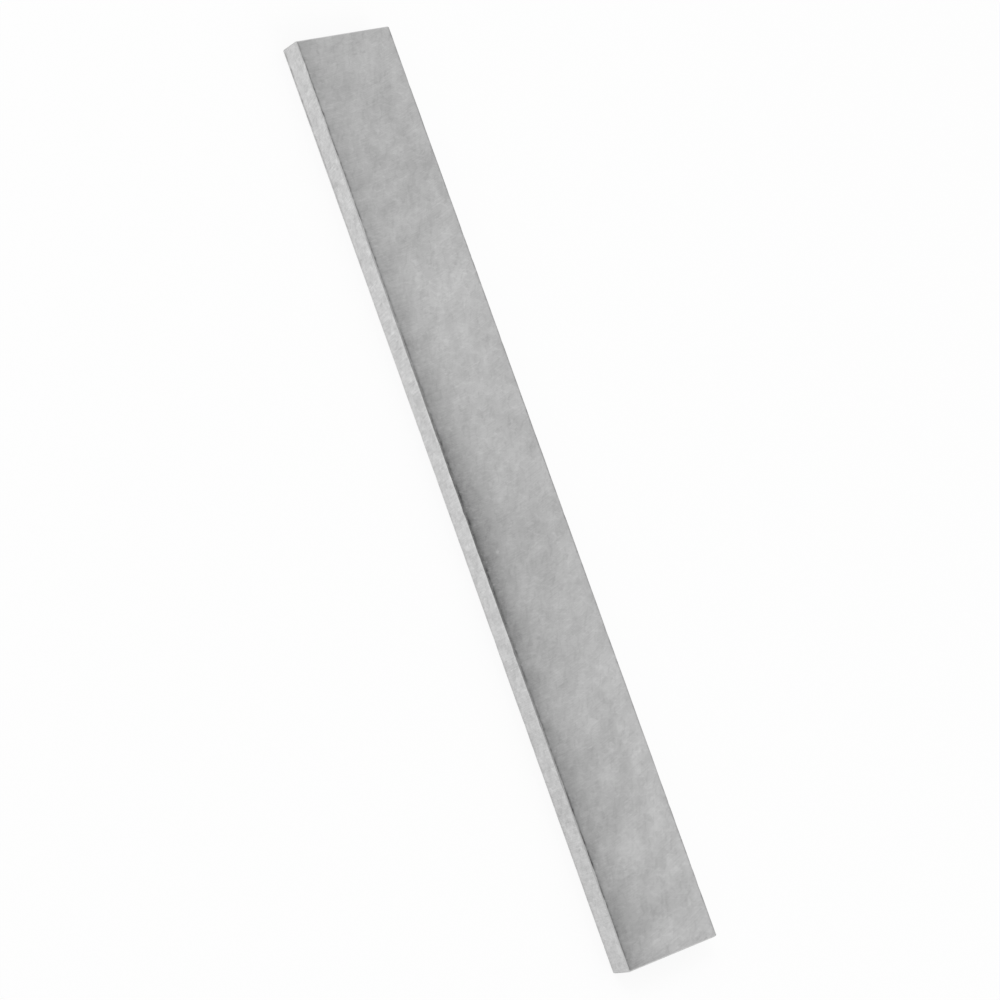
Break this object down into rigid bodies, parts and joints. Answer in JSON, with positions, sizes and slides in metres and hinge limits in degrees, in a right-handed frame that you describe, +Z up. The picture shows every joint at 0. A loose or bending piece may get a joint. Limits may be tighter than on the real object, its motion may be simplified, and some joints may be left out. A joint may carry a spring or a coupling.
{
  "type": "flat high-speed-steel lathe tool bit",
  "caption": "Flat ground steel bar for a lathe tool holder, with broken edges, a square back end and a relieved front end.",
  "frame": {"origin": "middle of the underside, the wide face that the bar lies on", "axes": "+X along the bar to the end with the front relief, +Y across its width, +Z up through its thickness"},
  "size_m": [0.2, 0.025, 0.005],
  "materials": {
    "ground_steel": "satin ground, with fine cross marks and cloudy tone"
  },
  "bodies": {
    "root": {"tool_bit": "ground_steel"}
  },
  "joints": []
}
